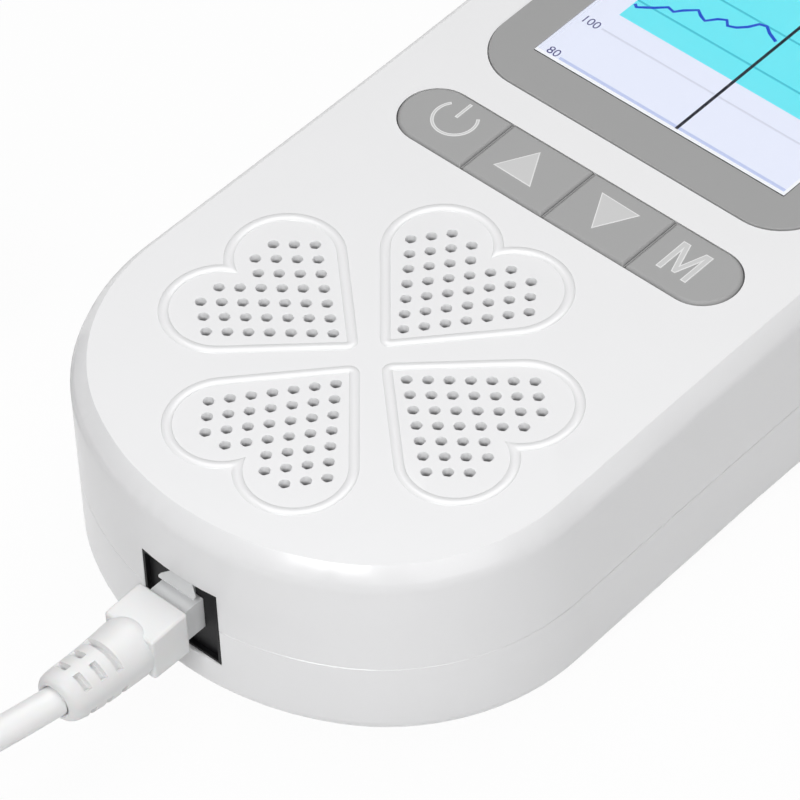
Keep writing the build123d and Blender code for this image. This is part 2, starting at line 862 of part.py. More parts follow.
def battery_door():
    """Door panel with two hooks at one end, a spring tongue at the other and two ribs."""
    door = plate(door_width, door_length, door_corner, 0, door_thickness, 0, compartment_y)
    inner_end = compartment_y + compartment_length / 2
    ledge_top = door_thickness + door_rest + ledge_height
    hook_low = ledge_top + hook_rise
    hook_top = hook_low + hook_thickness
    arm_y = inner_end - hook_play / 2 - hook_thickness / 2
    reach_y = arm_y + hook_reach / 2
    reach = hook_reach - hook_thickness / 2
    rib_x = cell_diameter / 2
    rib_top = battery_height - rib_rest
    for side in (-1, 1):
        door += block(hook_width, hook_thickness, door_thickness, hook_top, side * hook_x, arm_y)
        door += block(hook_width, reach, hook_low, hook_top, side * hook_x, reach_y)
        door += block(rim_width, rib_length, door_thickness, rib_top, side * rib_x, battery_y)
    tongue_y = compartment_y - compartment_length / 2 + tongue_play + tongue_thickness / 2
    tongue_top = door_thickness + tongue_height
    return door + block(tongue_width, tongue_thickness, door_thickness, tongue_top, 0, tongue_y)


# ---------------------------------------------------------------- lead
def cord(points, name):
    """Round cable along straight runs joined by tangent arcs, each as large as its runs allow."""
    spots = [Vector(*point) for point in points]
    runs = [after - before for before, after in zip(spots, spots[1:])]
    radii = []
    for before, after in zip(runs, runs[1:]):
        half_turn = radians(before.get_angle(after)) / 2
        radii.append(corner_share * min(before.length, after.length) / tan(half_turn))
    path = FilletPolyline(*spots, radius=radii)
    section = Plane(origin=path @ 0, z_dir=path % 0) * Circle(cable_diameter / 2)
    tube = sweep(section, path=path)
    straight = pi * cable_diameter**2 / 4 * path.length
    print(name, "radii", [round(r, 1) for r in radii], "length", round(path.length, 1),
          "volume ratio", round(tube.volume / straight, 5))
    return tube


def cable_coil():
    """The coiled length of the cable, as one ring."""
    outer = coil_radius + coil_width / 2
    inner = coil_radius - coil_width / 2
    return rod(outer, 0, coil_height, *coil_centre) - rod(inner, 0, coil_height, *coil_centre)


def outside(tube, other):
    """What is left of a tube outside another piece."""
    return (tube - other).solids().sort_by(SortBy.VOLUME)[-1]


def probe_cable():
    """Cable from the boot to the coil."""
    start = (0, relief_end_y, plug_axis_height)
    return outside(outside(cord((start, *lead_points), "lead"), plug_boot()), cable_coil())


def cable_tail():
    """Cable from the coil to the probe."""
    end = probe_frame() * Pos(-probe_relief_length, 0, 0)
    tube = cord((*tail_points, tuple(end.position)), "tail")
    return outside(outside(tube, probe_relief()), cable_coil())


# ---------------------------------------------------------------- probe
def probe_frame():
    """Where the probe lies: its tail's middle, with local X along the probe."""
    return Pos(*probe_at) * Rot(0, 0, probe_heading) * Rot(0, -probe_tilt, 0)


def probe_outline():
    """Half profile of the probe: tapered grip with a belly and a neck, then the wide head."""
    return [
        (0, 0),
        (0, probe_tail_radius - probe_edge),
        (probe_edge, probe_tail_radius),
        (probe_belly_at, probe_belly_radius),
        (probe_neck_at, probe_neck_radius),
        (probe_head_at, probe_head_radius),
        (probe_length, probe_head_radius),
        (probe_length, 0),
    ]


def turned(points):
    """Solid of a profile turned about the probe's axis."""
    face = make_face(Polyline(*points, close=True))
    return revolve(Plane.XZ * face, Axis.X)


def probe_shell(side):
    """One half of the probe's housing: side 1 above the seam, side -1 below."""
    solid = turned(probe_outline())
    solid = chamfer(solid.edges().group_by(Axis.X)[-1], probe_edge)
    solid -= probe_disc(probe_tail_radius - probe_wall - probe_edge, probe_wall, probe_length)
    solid -= probe_disc(probe_head_radius - probe_wall, probe_head_at + probe_wall, probe_length)
    reach = 2 * probe_length
    half = Pos(0, 0, side * reach / 2) * Box(reach, reach, reach)
    return probe_frame() * (solid & half)


def probe_disc(radius, start, thickness):
    """Disc across the probe's axis."""
    return Pos(start + thickness / 2, 0, 0) * Rot(0, 90, 0) * Cylinder(radius, thickness)


def probe_face():
    """Domed contact face in the head's mouth."""
    start = probe_length - face_thickness + face_proud
    face = probe_disc(probe_head_radius - probe_wall - probe_fit, start, face_thickness)
    face = chamfer(face.edges().group_by(Axis.X)[-1], face_lip - probe_fit)
    return probe_frame() * face


def probe_crystals():
    """Two half-round crystals behind the face, one to send and one to listen."""
    start = probe_length - face_thickness + face_proud - crystal_thickness
    disc = probe_disc(crystal_radius, start, crystal_thickness)
    gap = Pos(start, 0, 0) * Box(2 * face_thickness, 2 * probe_head_radius, crystal_gap)
    return probe_frame() * (disc - gap)


def probe_backing():
    """Backing block that fills the head behind the crystals."""
    end = probe_length - face_thickness + face_proud - crystal_thickness
    radius = probe_head_radius - probe_wall - probe_fit
    return probe_frame() * probe_disc(radius, end - backing_thickness, backing_thickness)


def probe_relief():
    """Tapered strain relief at the probe's tail."""
    way = Pos(-probe_relief_length / 2, 0, 0) * Rot(0, 90, 0)
    return probe_frame() * way * Cone(probe_relief_tip, probe_relief_radius, probe_relief_length)


# ---------------------------------------------------------------- all nodes
nodes = {
    "front_shell": front_shell(),
    "rear_shell": rear_shell(),
    "casing_screws": casing_screw_set(),
    "screen_bezel": screen_bezel(),
    "screen_window": screen_window(),
    "lcd_glass": lcd_glass(),
    "lcd_backlight": lcd_backlight(),
    "lcd_tray": lcd_tray(),
    "key_switches": switch_set(),
    "main_board": main_board(),
    "board_chips": board_chips(),
    "board_screws": board_screw_set(),
    "grille_cloth": grille_cloth(),
    "speaker_gasket": speaker_gasket(),
    "speaker_frame": speaker_frame(),
    "speaker_cone": speaker_cone(),
    "speaker_magnet": speaker_magnet(),
    "probe_socket": probe_socket(),
    "socket_contacts": socket_contacts(),
    "socket_board": socket_board(),
    "earphone_socket": earphone_socket(),
    "charging_port": charging_port(),
    "battery_pack": battery_pack(),
    "battery_foam": battery_foam(),
    "battery_contacts": battery_contacts(),
    "battery_door": battery_door(),
    "plug_body": plug_body(),
    "plug_blades": plug_blades(),
    "plug_boot": plug_boot(),
    "probe_cable": probe_cable(),
    "cable_coil": cable_coil(),
    "cable_tail": cable_tail(),
    "probe_upper_shell": probe_shell(1),
    "probe_lower_shell": probe_shell(-1),
    "probe_face": probe_face(),
    "probe_crystals": probe_crystals(),
    "probe_backing": probe_backing(),
    "probe_relief": probe_relief(),
}
for number, name in enumerate(key_names):
    nodes[name + "_key"] = key(number)
    nodes[name + "_plunger"] = plunger(number)
for name, shape in nodes.items():
    export_step(shape, "parts/" + name + ".step")
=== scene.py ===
import math
import bpy
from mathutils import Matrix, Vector


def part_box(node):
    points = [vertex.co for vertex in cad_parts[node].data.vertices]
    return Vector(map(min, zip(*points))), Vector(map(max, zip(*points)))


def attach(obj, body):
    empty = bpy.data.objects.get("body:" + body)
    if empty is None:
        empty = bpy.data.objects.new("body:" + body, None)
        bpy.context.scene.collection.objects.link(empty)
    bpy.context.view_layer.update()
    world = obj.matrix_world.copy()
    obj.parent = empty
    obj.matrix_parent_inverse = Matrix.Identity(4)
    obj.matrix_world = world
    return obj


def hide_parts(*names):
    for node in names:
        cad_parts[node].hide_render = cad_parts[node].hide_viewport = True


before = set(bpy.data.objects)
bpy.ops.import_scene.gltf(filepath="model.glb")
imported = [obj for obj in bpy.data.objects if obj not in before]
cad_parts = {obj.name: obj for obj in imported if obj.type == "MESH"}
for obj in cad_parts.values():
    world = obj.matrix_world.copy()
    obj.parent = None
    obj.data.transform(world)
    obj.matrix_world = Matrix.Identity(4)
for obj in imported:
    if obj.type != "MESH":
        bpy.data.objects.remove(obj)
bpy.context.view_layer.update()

scene = bpy.context.scene
mm = 0.001
hair = 0.001  # in mm: heights this near are the same
merging = 0.002 * mm  # points nearer than this become one


# small helpers used all through

def focus(piece):
    bpy.ops.object.select_all(action="DESELECT")
    piece.select_set(True)
    bpy.context.view_layer.objects.active = piece


def editing(piece, how="DESELECT"):
    focus(piece)
    bpy.ops.object.mode_set(mode="EDIT")
    bpy.ops.mesh.select_all(action=how)


def done():
    bpy.ops.object.mode_set(mode="OBJECT")


def pick(piece, kind, wanted):
    # edits the piece with just those faces or edges selected that the test takes
    editing(piece)
    bpy.ops.mesh.select_mode(type=kind)
    done()
    for part in piece.data.polygons if kind == "FACE" else piece.data.edges:
        part.select = wanted(part)
    bpy.ops.object.mode_set(mode="EDIT")


def facingOut(piece):
    editing(piece, "SELECT")
    bpy.ops.mesh.normals_make_consistent(inside=False)
    done()


def applyModifier(piece, kind, **settings):
    focus(piece)
    bpy.ops.object.modifier_add(type=kind)
    modifier = piece.modifiers[-1]
    for key, value in settings.items():
        setattr(modifier, key, value)
    bpy.ops.object.modifier_apply(modifier=modifier.name)


def rounded(piece, width, angle=40):
    # rounds off the edges that are sharper than the angle
    applyModifier(piece, "BEVEL", width=width * mm, segments=2, limit_method="ANGLE",
                  angle_limit=math.radians(angle), use_clamp_overlap=True)
    return piece


def faired(piece, angle=30):
    # smooth where the surface turns gently, crisp at real edges
    focus(piece)
    bpy.ops.object.shade_smooth_by_angle(angle=math.radians(angle))
    applyModifier(piece, "WEIGHTED_NORMAL", keep_sharp=True, weight=60)
    return piece


def rides(piece, body, finish, replaces=()):
    piece.data.materials.clear()
    piece.data.materials.append(finish)
    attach(piece, body)
    if replaces:
        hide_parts(*replaces)


def cadCopy(node, name, flat=0.5):
    # the CAD node's mesh, its triangles joined up where they lie flat within the angle
    piece = bpy.data.objects.new(name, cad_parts[node].data.copy())
    scene.collection.objects.link(piece)
    editing(piece, "SELECT")
    bpy.ops.mesh.remove_doubles(threshold=merging)
    bpy.ops.mesh.dissolve_limited(angle_limit=math.radians(flat))
    done()
    return piece


def newCircle(name, corners, fill="NOTHING"):
    bpy.ops.object.select_all(action="DESELECT")
    bpy.ops.mesh.primitive_circle_add(vertices=corners, radius=mm, fill_type=fill)
    piece = bpy.context.object
    piece.name = name
    return piece


def newBlock(name):
    bpy.ops.object.select_all(action="DESELECT")
    bpy.ops.mesh.primitive_cube_add(size=2 * mm)
    piece = bpy.context.object
    piece.name = name
    return piece


def newLine(name, kind, points, width, roundness):
    # a round line along points in mm
    bpy.ops.object.select_all(action="DESELECT")
    bpy.ops.curve.primitive_nurbs_path_add()
    line = bpy.context.object
    line.name = name
    line.location = (0, 0, 0)
    line.data.splines.clear()
    run = line.data.splines.new(kind)
    run.points.add(len(points) - 1)
    for spot, (x, y, z) in zip(run.points, points):
        spot.co = (x * mm, y * mm, z * mm, 1)
    line.data.dimensions = "3D"
    line.data.bevel_depth = width / 2 * mm
    line.data.bevel_resolution = roundness
    line.data.use_fill_caps = True
    return line


def pulled(piece):
    # draws a new ring out of the selected one and gives its corners
    before = len(piece.data.vertices)
    bpy.ops.object.mode_set(mode="EDIT")
    bpy.ops.mesh.extrude_region_move(TRANSFORM_OT_translate={"value": (0, 0, 0)})
    done()
    return list(piece.data.vertices)[before:]


def cutShape(name, outline, low, high, rounding=0):
    # a flat shape by its outline in mm, raised between two heights, its top edge rounded
    piece = newCircle(name, len(outline), "NGON")
    for corner, (x, y) in zip(piece.data.vertices, outline):
        corner.co = (x * mm, y * mm, low * mm)
    editing(piece, "SELECT")
    bpy.ops.mesh.normals_make_consistent(inside=False)
    bpy.ops.mesh.extrude_region_move(TRANSFORM_OT_translate={"value": (0, 0, (high - low) * mm)})
    done()
    facingOut(piece)
    if rounding:
        top = (high - hair) * mm
        pick(piece, "EDGE", lambda edge: all(piece.data.vertices[end].co.z > top
                                             for end in edge.vertices))
        bpy.ops.mesh.bevel(offset=rounding * mm, segments=2, affect="EDGES")
        done()
    return piece


def another(piece, name, move=(0, 0, 0), turn=0, about=(0, 0, 0)):
    # a copy with its own mesh, moved by mm or turned by degrees round an upright line
    focus(piece)
    bpy.ops.object.duplicate()
    copied = bpy.context.object
    copied.name = name
    editing(copied, "SELECT")
    if turn:
        # with no window the operator turns the other way
        bpy.ops.transform.rotate(value=-math.radians(turn), orient_axis="Z",
                                 center_override=[c * mm for c in about])
    if any(move):
        bpy.ops.transform.translate(value=[c * mm for c in move])
    done()
    return copied


def boxed(left, low, right, high):
    return [(left, low), (right, low), (right, high), (left, high)]


def arcPoints(cx, cy, radius, start, end, steps):
    angles = [math.radians(start + (end - start) * step / steps) for step in range(steps + 1)]
    return [(cx + radius * math.cos(angle), cy + radius * math.sin(angle)) for angle in angles]


# finishes

plain = {
    # what a finish has unless it says otherwise: sizes and depths in mm
    "grain": 0.5, "fineDetail": 3, "patch": 18, "broadDetail": 4, "mottle": 0.03,
    "spread": 0.06, "leastRough": 0.02, "bump": 0.15, "depth": 0.01,
    "metal": 0, "ior": 1.46, "clear": 0, "coat": 0, "coatRough": 0.2, "soft": 0, "softDepth": 1.5,
}
looks = {
    "shellWhite": {"colour": (238, 238, 239), "rough": 0.34, "mottle": 0.012, "bump": 0.12,
                   "depth": 0.006, "coat": 0.45, "coatRough": 0.14},
    # paintedShade: painted shade down inside the holes, darker deeper down; its colour, and the
    # heights between which it comes in
    "holeShade": {"colour": (238, 238, 239), "rough": 0.4, "mottle": 0.012, "bump": 0.12,
                  "depth": 0.006, "paintedShade": ((54, 54, 56), 34.2, 35.6)},
    "bezelGrey": {"colour": (159, 159, 159), "rough": 0.42, "grain": 0.35, "mottle": 0.02,
                  "bump": 0.2},
    "keyGrey": {"colour": (164, 164, 164), "rough": 0.5, "grain": 0.35, "mottle": 0.02,
                "bump": 0.25},
    # a sign's lighter edge band is a painted highlight; its flat has the darker colour below
    "legendRimHighlight": {"colour": (228, 228, 228), "rough": 0.45, "grain": 0.3, "mottle": 0.01},
    "legendFace": {"colour": (203, 203, 203), "rough": 0.5, "grain": 0.3, "mottle": 0.01},
    "webGrey": {"colour": (150, 150, 150), "rough": 0.6, "grain": 0.3, "mottle": 0.02,
                "bump": 0.2},
    "paneClear": {"colour": (250, 252, 255), "rough": 0.04, "spread": 0.01, "mottle": 0.001,
                  "bump": 0.01, "clear": 1, "ior": 1.49},
    "glassDark": {"colour": (38, 42, 50), "rough": 0.12, "bump": 0.02},
    "guideMilk": {"colour": (226, 230, 236), "rough": 0.3, "bump": 0.05},
    "blackPlastic": {"colour": (24, 24, 26), "rough": 0.5, "grain": 0.4, "bump": 0.2, "ior": 1.3},
    "boardGreen": {"colour": (28, 92, 58), "rough": 0.35, "grain": 0.8, "patch": 6,
                   "mottle": 0.12, "bump": 0.2},
    "steel": {"colour": (186, 188, 192), "rough": 0.3, "grain": 0.3, "bump": 0.1, "metal": 1},
    "gold": {"colour": (226, 184, 104), "rough": 0.25, "grain": 0.3, "bump": 0.1, "metal": 1},
    "clothDark": {"colour": (22, 22, 24), "rough": 0.9, "grain": 0.18, "patch": 0.6,
                  "mottle": 0.3, "bump": 0.6, "depth": 0.05},
    "foamBlack": {"colour": (52, 52, 54), "rough": 0.95, "grain": 0.4, "bump": 0.8, "depth": 0.1},
    "conePaper": {"colour": (58, 56, 54), "rough": 0.8, "grain": 0.3, "patch": 3, "mottle": 0.15,
                  "bump": 0.5, "depth": 0.04},
    "plugClear": {"colour": (250, 251, 252), "rough": 0.14, "grain": 0.6, "bump": 0.05,
                  "clear": 0.1, "ior": 1.5},
    "bootWhite": {"colour": (230, 230, 230), "rough": 0.46, "grain": 0.4, "mottle": 0.012,
                  "bump": 0.12, "soft": 0.08},
    "cableWhite": {"colour": (238, 238, 238), "rough": 0.4, "grain": 0.7, "mottle": 0.015,
                   "bump": 0.1, "soft": 0.05},
    "wrapBlue": {"colour": (44, 84, 150), "rough": 0.3, "grain": 0.8, "patch": 8, "mottle": 0.06},
    "probeWhite": {"colour": (234, 234, 236), "rough": 0.36, "mottle": 0.012, "bump": 0.12,
                   "depth": 0.006},
    "faceCream": {"colour": (222, 216, 204), "rough": 0.45, "soft": 0.1},
    "ceramic": {"colour": (206, 186, 158), "rough": 0.55, "grain": 0.3, "patch": 2,
                "mottle": 0.06},
}


def shade(red, green, blue):
    # screen colour 0-255 to linear
    return tuple((c / 255 / 12.92) if c < 11 else ((c / 255 + 0.055) / 1.055) ** 2.4
                 for c in (red, green, blue)) + (1,)


def toned(colour, times):
    return tuple(min(1, c * times) for c in colour[:3]) + (1,)


def newMaterial(name):
    material = bpy.data.materials.new(name)
    material.use_nodes = True
    return material, material.node_tree.nodes, material.node_tree.links


def noiseOf(nodes, links, place, size, detail):
    noise = nodes.new("ShaderNodeTexNoise")
    noise.inputs["Scale"].default_value = 1 / (size * mm)
    noise.inputs["Detail"].default_value = detail
    links.new(place, noise.inputs["Vector"])
    return noise.outputs["Fac"]


def mixOf(nodes, links, share, first, second):
    # two colours, or a colour and another node's, mixed by a share
    mix = nodes.new("ShaderNodeMix")
    mix.data_type = "RGBA"
    links.new(share, mix.inputs["Factor"])
    for socket, colour in (("A", first), ("B", second)):
        if isinstance(colour, tuple):
            mix.inputs[socket].default_value = colour
        else:
            links.new(colour, mix.inputs[socket])
    return mix.outputs["Result"]


def finishOf(name, look):
    # grained plastic, rubber or metal: mottle in colour, grain in roughness and bump
    look = {**plain, **look}
    material, nodes, links = newMaterial(name)
    shader = nodes["Principled BSDF"]
    place = nodes.new("ShaderNodeTexCoord").outputs["Object"]
    fine = noiseOf(nodes, links, place, look["grain"], look["fineDetail"])
    broad = noiseOf(nodes, links, place, look["patch"], look["broadDetail"])
    base = shade(*look["colour"])
    coloured = mixOf(nodes, links, broad, toned(base, 1 - look["mottle"]),
                     toned(base, 1 + look["mottle"]))
    # painted shade: the colour goes over to the shade colour towards the bottom, by height
    if "paintedShade" in look:
        shadeColour, low, high = look["paintedShade"]
        height = nodes.new("ShaderNodeSeparateXYZ")
        links.new(place, height.inputs["Vector"])
        fall = nodes.new("ShaderNodeMapRange")
        fall.inputs["From Min"].default_value = low * mm
        fall.inputs["From Max"].default_value = high * mm
        links.new(height.outputs["Z"], fall.inputs["Value"])
        coloured = mixOf(nodes, links, fall.outputs["Result"], shade(*shadeColour), coloured)
    links.new(coloured, shader.inputs["Base Color"])
    rough = nodes.new("ShaderNodeMapRange")
    rough.inputs["To Min"].default_value = max(look["leastRough"], look["rough"] - look["spread"])
    rough.inputs["To Max"].default_value = look["rough"] + look["spread"]
    links.new(fine, rough.inputs["Value"])
    links.new(rough.outputs["Result"], shader.inputs["Roughness"])
    bump = nodes.new("ShaderNodeBump")
    bump.inputs["Strength"].default_value = look["bump"]
    bump.inputs["Distance"].default_value = look["depth"] * mm
    links.new(fine, bump.inputs["Height"])
    links.new(bump.outputs["Normal"], shader.inputs["Normal"])
    shader.inputs["Metallic"].default_value = look["metal"]
    shader.inputs["IOR"].default_value = look["ior"]
    shader.inputs["Transmission Weight"].default_value = look["clear"]
    shader.inputs["Coat Weight"].default_value = look["coat"]
    shader.inputs["Coat Roughness"].default_value = look["coatRough"]
    shader.inputs["Subsurface Weight"].default_value = look["soft"]
    shader.inputs["Subsurface Scale"].default_value = look["softDepth"] * mm
    return material


finishes = {name: finishOf(name, look) for name, look in looks.items()}
print("finishes ready:", len(finishes))


# camera

camera = {
    "place": (508.1416, -566.8271, 774.9829),
    "turn": (43.759494, 2.220215, 42.36268),
    "lens": 292.5, "sensor": 36,
    "nearest": 0.01, "furthest": 20,
}
bpy.ops.object.camera_add(location=[c * mm for c in camera["place"]],
                          rotation=[math.radians(a) for a in camera["turn"]])
viewer = bpy.context.object
viewer.data.lens = camera["lens"]
viewer.data.sensor_width = camera["sensor"]
viewer.data.clip_start = camera["nearest"]
viewer.data.clip_end = camera["furthest"]
scene.camera = viewer
scene.view_settings.view_transform = "Standard"
print("camera set")


# the probe's lead: one length from the boot, round the coil, to the probe

lead = {
    "diameter": 5.2, "roundness": 6, "order": 3, "smoothness": 6,
    "start": (-0.9, -131.2, 16.1),
    "fall": [(-2.3, -138.2, 15.8), (-4.7, -145.0, 14.6), (-7.1, -152.6, 11.7),
             (-7.6, -161.2, 8.9), (-6.4, -170.2, 8.1)],
    "coilAt": (-38, -182),
    "turns": (33.8, 28.6, 23.4, 23.4, 28.6, 33.8),
    "lays": (7.8, 7.8, 7.8, 2.6, 2.6, 2.6),
    # points to a turn, those that lead over to the next turn, and those of the last one
    "steps": 16, "easing": 4, "lastSteps": 4,
    # how far the lead pulls in as it drops a layer, and how much the spline cuts its corners
    "dip": 2.0, "cut": 0.981,
    "tail": [(-38.5, -216.2, 2.7), (-52.5, -217.0, 2.8), (-65.2, -212.7, 3.3),
             (-75.3, -203.1, 4.9), (-80.3, -191.2, 7.2)],
    "end": (-80.88, -177.7, 8.72),
    "length": 1.036,
}


def coilPoints():
    # clockwise from the east side: in along the upper layer, out along the lower one
    cx, cy = lead["coilAt"]
    turns = list(zip(lead["turns"], lead["lays"]))
    points = []
    for number, (radius, height) in enumerate(turns):
        last = number == len(turns) - 1
        following, below = turns[number if last else number + 1]
        for step in range(lead["lastSteps"] if last else lead["steps"]):
            ease = max(0, (step - lead["steps"] + lead["easing"]) / lead["easing"])
            reach = radius + (following - radius) * ease
            if below != height:
                reach -= lead["dip"] * math.sin(math.pi * ease)
            widened = reach / lead["cut"]
            angle = math.radians(-360 * step / lead["steps"])
            points.append((cx + widened * math.cos(angle), cy + widened * math.sin(angle),
                           height + (below - height) * ease))
    return points


route = [lead["start"], *lead["fall"], *coilPoints(), *lead["tail"], lead["end"]]
leadCord = newLine("leadCord", "NURBS", route, lead["diameter"], lead["roundness"])
leadCord.data.splines[0].order_u = lead["order"]
leadCord.data.splines[0].use_endpoint_u = True
leadCord.data.resolution_u = lead["smoothness"]
rides(leadCord, "probe_lead", finishes["cableWhite"],
      ("probe_cable", "cable_coil", "cable_tail"))
print("lead laid:", len(route), "points")


# studio

studio = {
    "white": (1, 1, 1, 1), "world": 0.04,
    # how white the paper is to the eye, and its tone as the lamps see it
    "paper": 0.955, "paperTone": 0.7, "paperRough": 0.9,
    # in metres, like the lamps
    "floorSize": 8, "floorLevel": -0.0002,
    "aim": (0, -0.05, 0.03),
    # name, place, size, power
    "lamps": [
        ("overhead", (-0.2, 0.3, 1.3), 1.0, 12.0),
        ("frontHigh", (0.3, -1.0, 0.95), 0.6, 9.0),
        ("rightSide", (1.2, -0.5, 0.7), 0.9, 4.7),
    ],
}


def blendShaders(nodes, links, share, first, second, output):
    mix = nodes.new("ShaderNodeMixShader")
    links.new(share, mix.inputs["Fac"])
    links.new(first, mix.inputs[1])
    links.new(second, mix.inputs[2])
    links.new(mix.outputs["Shader"], nodes[output].inputs["Surface"])


def mathOf(nodes, links, operation, first, second):
    # a number from two sockets, or from a socket and a number
    node = nodes.new("ShaderNodeMath")
    node.operation = operation
    links.new(first, node.inputs[0])
    if isinstance(second, float):
        node.inputs[1].default_value = second
    else:
        links.new(second, node.inputs[1])
    return node.outputs["Value"]


# the world is dim on the object and white to the eye
world = bpy.data.worlds.new("studioWorld")
scene.world = world
world.use_nodes = True
nodes, links = world.node_tree.nodes, world.node_tree.links
dim, bright = nodes["Background"], nodes.new("ShaderNodeBackground")
for sky, strength in ((dim, studio["world"]), (bright, 1)):
    sky.inputs["Color"].default_value = studio["white"]
    sky.inputs["Strength"].default_value = strength
rays = nodes.new("ShaderNodeLightPath")
blendShaders(nodes, links, rays.outputs["Is Camera Ray"], dim.outputs["Background"],
             bright.outputs["Background"], "World Output")

for name, place, size, power in studio["lamps"]:
    bpy.ops.object.light_add(type="AREA", location=place)
    lamp = bpy.context.object
    lamp.name = name
    lamp.data.size = size
    lamp.data.energy = power
    aim = Vector(studio["aim"]) - Vector(place)
    lamp.rotation_euler = aim.to_track_quat("-Z", "Y").to_euler()

bpy.ops.object.select_all(action="DESELECT")
bpy.ops.mesh.primitive_plane_add(size=studio["floorSize"], location=(0, 0, studio["floorLevel"]))
studioFloor = bpy.context.object
studioFloor.name = "studioFloor"

# the paper shows white to the eye, in gloss and through clear parts, and keeps the shadow
paper, nodes, links = newMaterial("paperWhite")
shader = nodes["Principled BSDF"]
shader.inputs["Base Color"].default_value = (studio["paperTone"],) * 3 + (1,)
shader.inputs["Roughness"].default_value = studio["paperRough"]
glow = nodes.new("ShaderNodeEmission")
glow.inputs["Strength"].default_value = 1
rays = nodes.new("ShaderNodeLightPath").outputs
seen = mathOf(nodes, links, "MAXIMUM", rays["Is Camera Ray"], rays["Is Glossy Ray"])
seen = mathOf(nodes, links, "MAXIMUM", seen, rays["Is Transmission Ray"])
share = mathOf(nodes, links, "MULTIPLY", seen, studio["paper"])
blendShaders(nodes, links, share, shader.outputs["BSDF"], glow.outputs["Emission"],
             "Material Output")
studioFloor.data.materials.append(paper)
print("studio lit")


# casing

casing = {
    "top": 36.5,
    "seam": 15.4, "seamBevel": 0.12, "seamSteps": 1,
    # the socket's mouth: half its width, the rounding of its edges, the end wall it is in
    "mouth": 7.95, "mouthBevel": 0.3, "mouthSteps": 2, "mouthWall": -103,
    # how near an edge is to them to be theirs
    "close": 0.01, "mouthClose": 0.02,
    # the outer wall lies this far out from a middle line between two end points
    "endMiddle": 50, "wallOut": 43, "upright": 0.3, "facing": 0.6,
    # the solid's ridges go down to this share of their height, and beads take their place
    "ridgeSink": -0.25,
    "topFlat": 0.05,
}


def onWall(face):
    end = casing["endMiddle"] * mm
    point = face.center
    away = Vector((point.x, point.y - max(-end, min(end, point.y)), 0))
    return (away.length > casing["wallOut"] * mm and abs(face.normal.z) < casing["upright"]
            and face.normal.dot(away.normalized()) > casing["facing"])


def atMouth(corner):
    across, up = abs(corner.x), abs(corner.z - casing["seam"])
    return corner.y < casing["mouthWall"] and (
        abs(across - casing["mouth"]) < casing["mouthClose"]
        or abs(up - casing["mouth"]) < casing["mouthClose"])


def wallEdges(mesh):
    # the outer wall's edges along the parting line, and those round the mouth
    seam, mouth = set(), set()
    for face in mesh.polygons:
        if not onWall(face):
            continue
        for key in face.edge_keys:
            ends = [mesh.vertices[end].co / mm for end in key]
            if all(abs(end.z - casing["seam"]) < casing["close"] for end in ends):
                seam.add(key)
            elif all(atMouth(end) for end in ends):
                mouth.add(key)
    return seam, mouth


def bevelKeys(piece, keys, width, segments):
    pick(piece, "EDGE", lambda edge: edge.key in keys)
    bpy.ops.mesh.bevel(offset=width * mm, segments=segments, affect="EDGES", clamp_overlap=False)
    done()


def bevelSeam(piece):
    # rounded edges round the socket's mouth, and a hairline along the parting line
    mouth = wallEdges(piece.data)[1]
    bevelKeys(piece, mouth, casing["mouthBevel"], casing["mouthSteps"])
    # that has renumbered the mesh, so the seam is found only now
    seam = wallEdges(piece.data)[0]
    bevelKeys(piece, seam, casing["seamBevel"], casing["seamSteps"])
    print(piece.name, "mouth edges", len(mouth), "seam edges", len(seam))


shellTop = cadCopy("front_shell", "shellTop", casing["topFlat"])
for corner in shellTop.data.vertices:
    above = corner.co.z / mm - casing["top"]
    if above > casing["close"]:
        corner.co.z = (casing["top"] + above * casing["ridgeSink"]) * mm
shellBack = cadCopy("rear_shell", "shellBack")
for piece, node in ((shellTop, "front_shell"), (shellBack, "rear_shell")):
    bevelSeam(piece)
    rides(faired(piece), "handset", finishes["shellWhite"], (node,))
print("casing dressed")


# clover grille

clover = {
    "middle": -59.2, "leaves": 4,
    "lobeOut": 25.5, "lobeSide": 7.65, "lobeRadius": 9.15, "lobeSteps": 30,
    "halfAngle": 42.5, "tipRound": 1.0, "tipSteps": 6, "runSteps": 5,
    # distance from the bead's middle line, height over the casing
    "bead": [(-0.9, -0.1), (-0.86, 0.01), (-0.7, 0.1), (-0.45, 0.19), (-0.18, 0.23), (0, 0.24),
             (0.18, 0.23), (0.45, 0.19), (0.7, 0.1), (0.86, 0.01), (0.9, -0.1)],
    "beadAngle": 60,
}


def leafLoop(grow):
    # outline of the leaf that points along +Y: from its tip up the right side, down the left
    half = math.radians(clover["halfAngle"])
    side, out, radius = clover["lobeSide"], clover["lobeOut"], clover["lobeRadius"]
    tipY = out - (radius + side * math.cos(half)) / math.sin(half)
    hubY = tipY + clover["tipRound"] / math.sin(half)
    notch = math.degrees(math.acos(-side / (radius + grow)))
    lobe = arcPoints(side, out, radius + grow, -clover["halfAngle"], notch, clover["lobeSteps"])
    tip = arcPoints(0, hubY, clover["tipRound"] + grow, 180 + clover["halfAngle"],
                    360 - clover["halfAngle"], clover["tipSteps"])
    (footX, footY), (touchX, touchY) = tip[-1], lobe[0]
    run = [(footX + (touchX - footX) * step / clover["runSteps"],
            footY + (touchY - footY) * step / clover["runSteps"])
           for step in range(1, clover["runSteps"])]
    right = [*tip[clover["tipSteps"] // 2:], *run, *lobe]
    left = [(-x, y) for x, y in reversed(right[1:-1])]
    return right + left


def setBeadRing(corners, grow, height):
    for corner, (x, y) in zip(corners, leafLoop(grow)):
        corner.co = (x * mm, (y + clover["middle"]) * mm, (casing["top"] + height) * mm)


